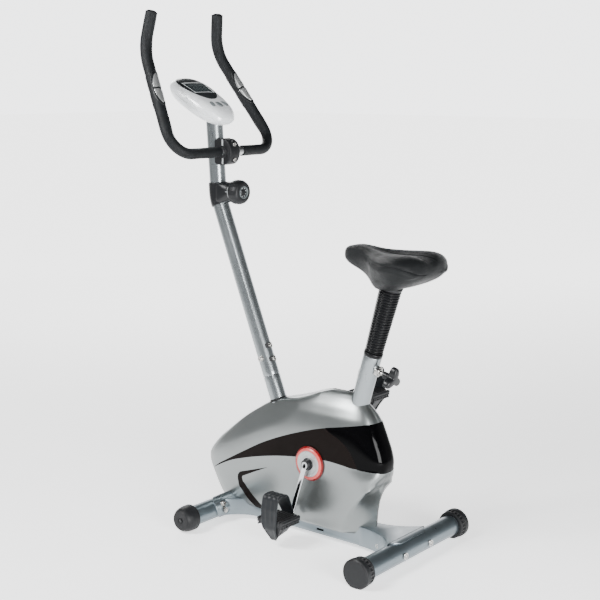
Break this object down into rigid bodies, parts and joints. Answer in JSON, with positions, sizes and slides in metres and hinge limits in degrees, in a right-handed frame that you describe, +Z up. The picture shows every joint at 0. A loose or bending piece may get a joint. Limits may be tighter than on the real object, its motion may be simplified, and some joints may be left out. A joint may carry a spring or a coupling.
{
  "type": "exercise bike",
  "caption": "Upright magnetic exercise bike with a silver frame and shroud, black saddle on a bellows post, foam handlebar, egg-shaped console, tension knob and strapped pedals.",
  "frame": {"origin": "on the floor under the centre of the bounding box", "axes": "+X forward (rider faces +X), +Y to the rider's left, +Z up"},
  "size_m": [0.7961, 0.434, 1.2867],
  "materials": {
    "silver_frame": "silver-grey powder coat",
    "zinc_bolts": "zinc plated",
    "black_plastic": "fine grain moulded",
    "steel_parts": "turned steel",
    "flywheel_iron": "machined cast iron",
    "magnet_black": "coated ferrite",
    "shroud_silver": "silver metallic paint on moulded plastic",
    "panel_gloss": "gloss black",
    "cable_black": "ribbed rubber",
    "console_white": "pale silver-white paint",
    "window_gloss": "dark tinted",
    "board_green": "solder mask",
    "crank_chrome": "polished",
    "disc_red": "red and silver moulded",
    "pedal_plastic": "ribbed",
    "strap_rubber": "matte",
    "bar_paint": "silver",
    "foam": "closed-cell foam",
    "saddle_skin": "black vinyl over foam",
    "button_grey": "satin"
  },
  "bodies": {
    "frame": {"main_beam": "silver_frame", "front_bracket": "silver_frame", "rear_bracket": "silver_frame", "front_stabilizer": "silver_frame", "rear_stabilizer": "silver_frame", "seat_tube": "silver_frame", "mast_socket": "silver_frame", "mast": "silver_frame", "bottom_bracket": "silver_frame", "flywheel_fork": "silver_frame", "stabilizer_bolts": "zinc_bolts", "mast_screws": "zinc_bolts", "clamp_screws": "zinc_bolts", "shroud_screws": "zinc_bolts", "seat_bushing": "black_plastic", "mast_gasket": "black_plastic", "tension_sleeve": "black_plastic", "clamp_base": "black_plastic", "clamp_cap": "black_plastic", "front_foot_plugs": "black_plastic", "crank_bearings": "steel_parts", "flywheel_axle": "steel_parts", "brake_pivot": "steel_parts", "shroud_left": "shroud_silver", "shroud_right": "shroud_silver", "rear_panel": "panel_gloss", "tension_cable": "cable_black", "drive_belt": "cable_black", "console_back": "console_white", "console_front": "console_white", "console_window": "window_gloss", "console_board": "board_green"},
    "crank": {"crank_axle": "steel_parts", "crank_arms": "crank_chrome", "crank_discs": "disc_red", "drive_pulley": "black_plastic", "pedal_spindles": "steel_parts"},
    "pedal_l": {"pedal_left": "pedal_plastic", "strap_left": "strap_rubber"},
    "pedal_r": {"pedal_right": "pedal_plastic", "strap_right": "strap_rubber"},
    "flywheel_body": {"flywheel": "flywheel_iron"},
    "brake": {"magnet_bracket": "steel_parts", "brake_magnets": "magnet_black"},
    "knob": {"tension_knob": "black_plastic"},
    "handlebar_body": {"handlebar": "bar_paint", "foam_grips": "foam", "pulse_sensors": "crank_chrome"},
    "seat": {"seat_post": "crank_chrome", "saddle_pan": "black_plastic", "saddle_pad": "saddle_skin", "bellows": "strap_rubber"},
    "seat_pin_body": {"seat_pin": "black_plastic"},
    "button_left_body": {"button_left": "button_grey"},
    "button_middle_body": {"button_middle": "button_grey"},
    "button_right_body": {"button_right": "button_grey"},
    "roller_l": {"roller_left": "black_plastic"},
    "roller_r": {"roller_right": "black_plastic"},
    "rear_cap_l": {"rear_cap_left": "black_plastic"},
    "rear_cap_r": {"rear_cap_right": "black_plastic"}
  },
  "joints": [
    {"name": "crank_spin", "type": "hinge", "parent": "frame", "child": "crank", "pos_m": [-0.085, 0, 0.202], "axis": [0, 1, 0], "continuous": true},
    {"name": "pedal_left_spin", "type": "hinge", "parent": "crank", "child": "pedal_l", "pos_m": [-0.03927, 0.122, 0.06124], "axis": [0, 1, 0], "continuous": true},
    {"name": "pedal_right_spin", "type": "hinge", "parent": "crank", "child": "pedal_r", "pos_m": [-0.13073, -0.122, 0.34276], "axis": [0, 1, 0], "continuous": true},
    {"name": "flywheel_spin", "type": "hinge", "parent": "frame", "child": "flywheel_body", "pos_m": [0.136, 0, 0.155], "axis": [0, 1, 0], "continuous": true},
    {"name": "knob_turn", "type": "hinge", "parent": "frame", "child": "knob", "pos_m": [0.19, 0, 0.843], "axis": [-1, 0, 0], "range_deg": [0, 270]},
    {"name": "brake_swing", "type": "hinge", "parent": "frame", "child": "brake", "pos_m": [0.192, 0, 0.073], "axis": [0, 1, 0], "range_deg": [-4, 0]},
    {"name": "seat_height", "type": "slide", "parent": "frame", "child": "seat", "axis": [-0.2823, 0, 0.9593], "range_m": [-0.075, 0.075], "deforming": ["bellows"]},
    {"name": "seat_pin_push", "type": "slide", "parent": "frame", "child": "seat_pin_body", "axis": [0.9593, 0, 0.2823], "range_m": [0, 0.008]},
    {"name": "handlebar_tilt", "type": "hinge", "parent": "frame", "child": "handlebar_body", "pos_m": [0.229, 0, 0.943], "axis": [0, 1, 0], "range_deg": [-15, 15]},
    {"name": "roller_left_spin", "type": "hinge", "parent": "frame", "child": "roller_l", "pos_m": [0.203, 0.2, 0.033], "axis": [0, 1, 0], "continuous": true},
    {"name": "roller_right_spin", "type": "hinge", "parent": "frame", "child": "roller_r", "pos_m": [0.203, -0.2, 0.033], "axis": [0, 1, 0], "continuous": true},
    {"name": "rear_cap_left_turn", "type": "hinge", "parent": "frame", "child": "rear_cap_l", "pos_m": [-0.339, 0.2, 0.033], "axis": [0, 1, 0], "range_deg": [-30, 30]},
    {"name": "rear_cap_right_turn", "type": "hinge", "parent": "frame", "child": "rear_cap_r", "pos_m": [-0.339, -0.2, 0.033], "axis": [0, 1, 0], "range_deg": [-30, 30]},
    {"name": "button_left_press", "type": "slide", "parent": "frame", "child": "button_left_body", "axis": [0.5, 0, -0.866], "range_m": [0, 0.0012], "stiffness_N_per_m": 400},
    {"name": "button_middle_press", "type": "slide", "parent": "frame", "child": "button_middle_body", "axis": [0.5, 0, -0.866], "range_m": [0, 0.0012], "stiffness_N_per_m": 400},
    {"name": "button_right_press", "type": "slide", "parent": "frame", "child": "button_right_body", "axis": [0.5, 0, -0.866], "range_m": [0, 0.0012], "stiffness_N_per_m": 400}
  ],
  "couplings": [
    {"joint": "flywheel_spin", "follows": "crank_spin", "ratio": 6.303},
    {"joint": "brake_swing", "follows": "knob_turn", "ratio": -0.014815}
  ]
}
